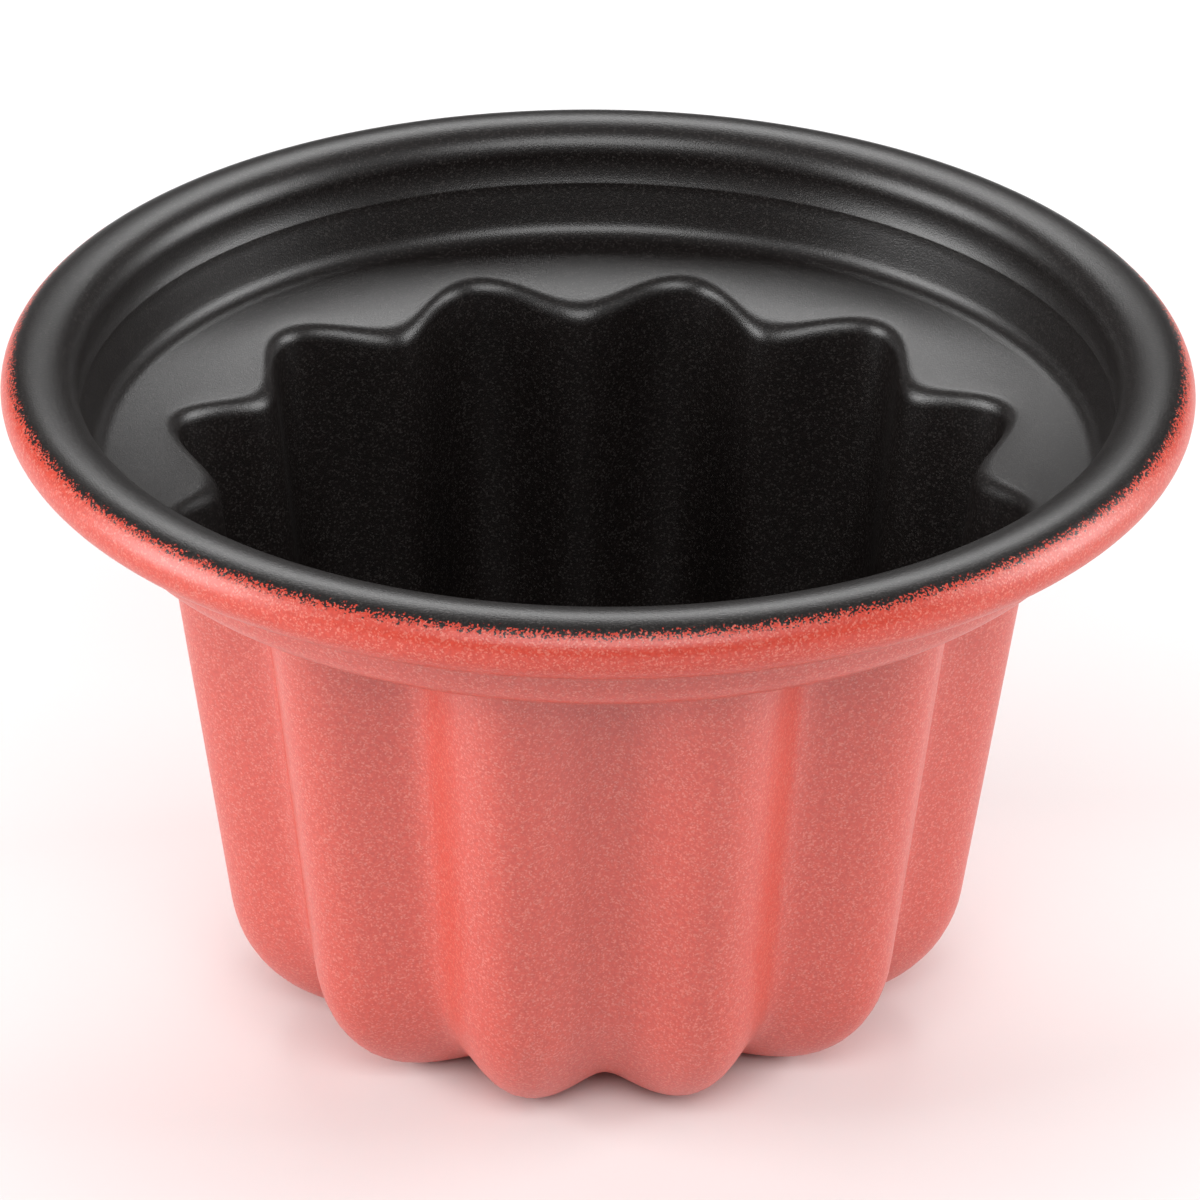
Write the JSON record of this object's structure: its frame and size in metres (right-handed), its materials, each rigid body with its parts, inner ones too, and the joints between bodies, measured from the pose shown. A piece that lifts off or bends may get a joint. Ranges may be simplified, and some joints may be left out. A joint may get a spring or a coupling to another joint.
{
  "type": "canele mould",
  "caption": "One-piece fluted baking mould of drawn sheet metal: rolled rim, round collar, sloping ledge and a tapering fluted cup on a flat base.",
  "frame": {"origin": "centre of the flat base, on its underside", "axes": "+Z along the mould's own axis, up through the open mouth; X and Y each pass through a crease between two lobes"},
  "size_m": [0.08, 0.08, 0.0482],
  "materials": {
    "coated_sheet": "coral flake coat outside, dark speckled non-stick coat inside, satin"
  },
  "bodies": {
    "root": {"mould": "coated_sheet"}
  },
  "joints": []
}
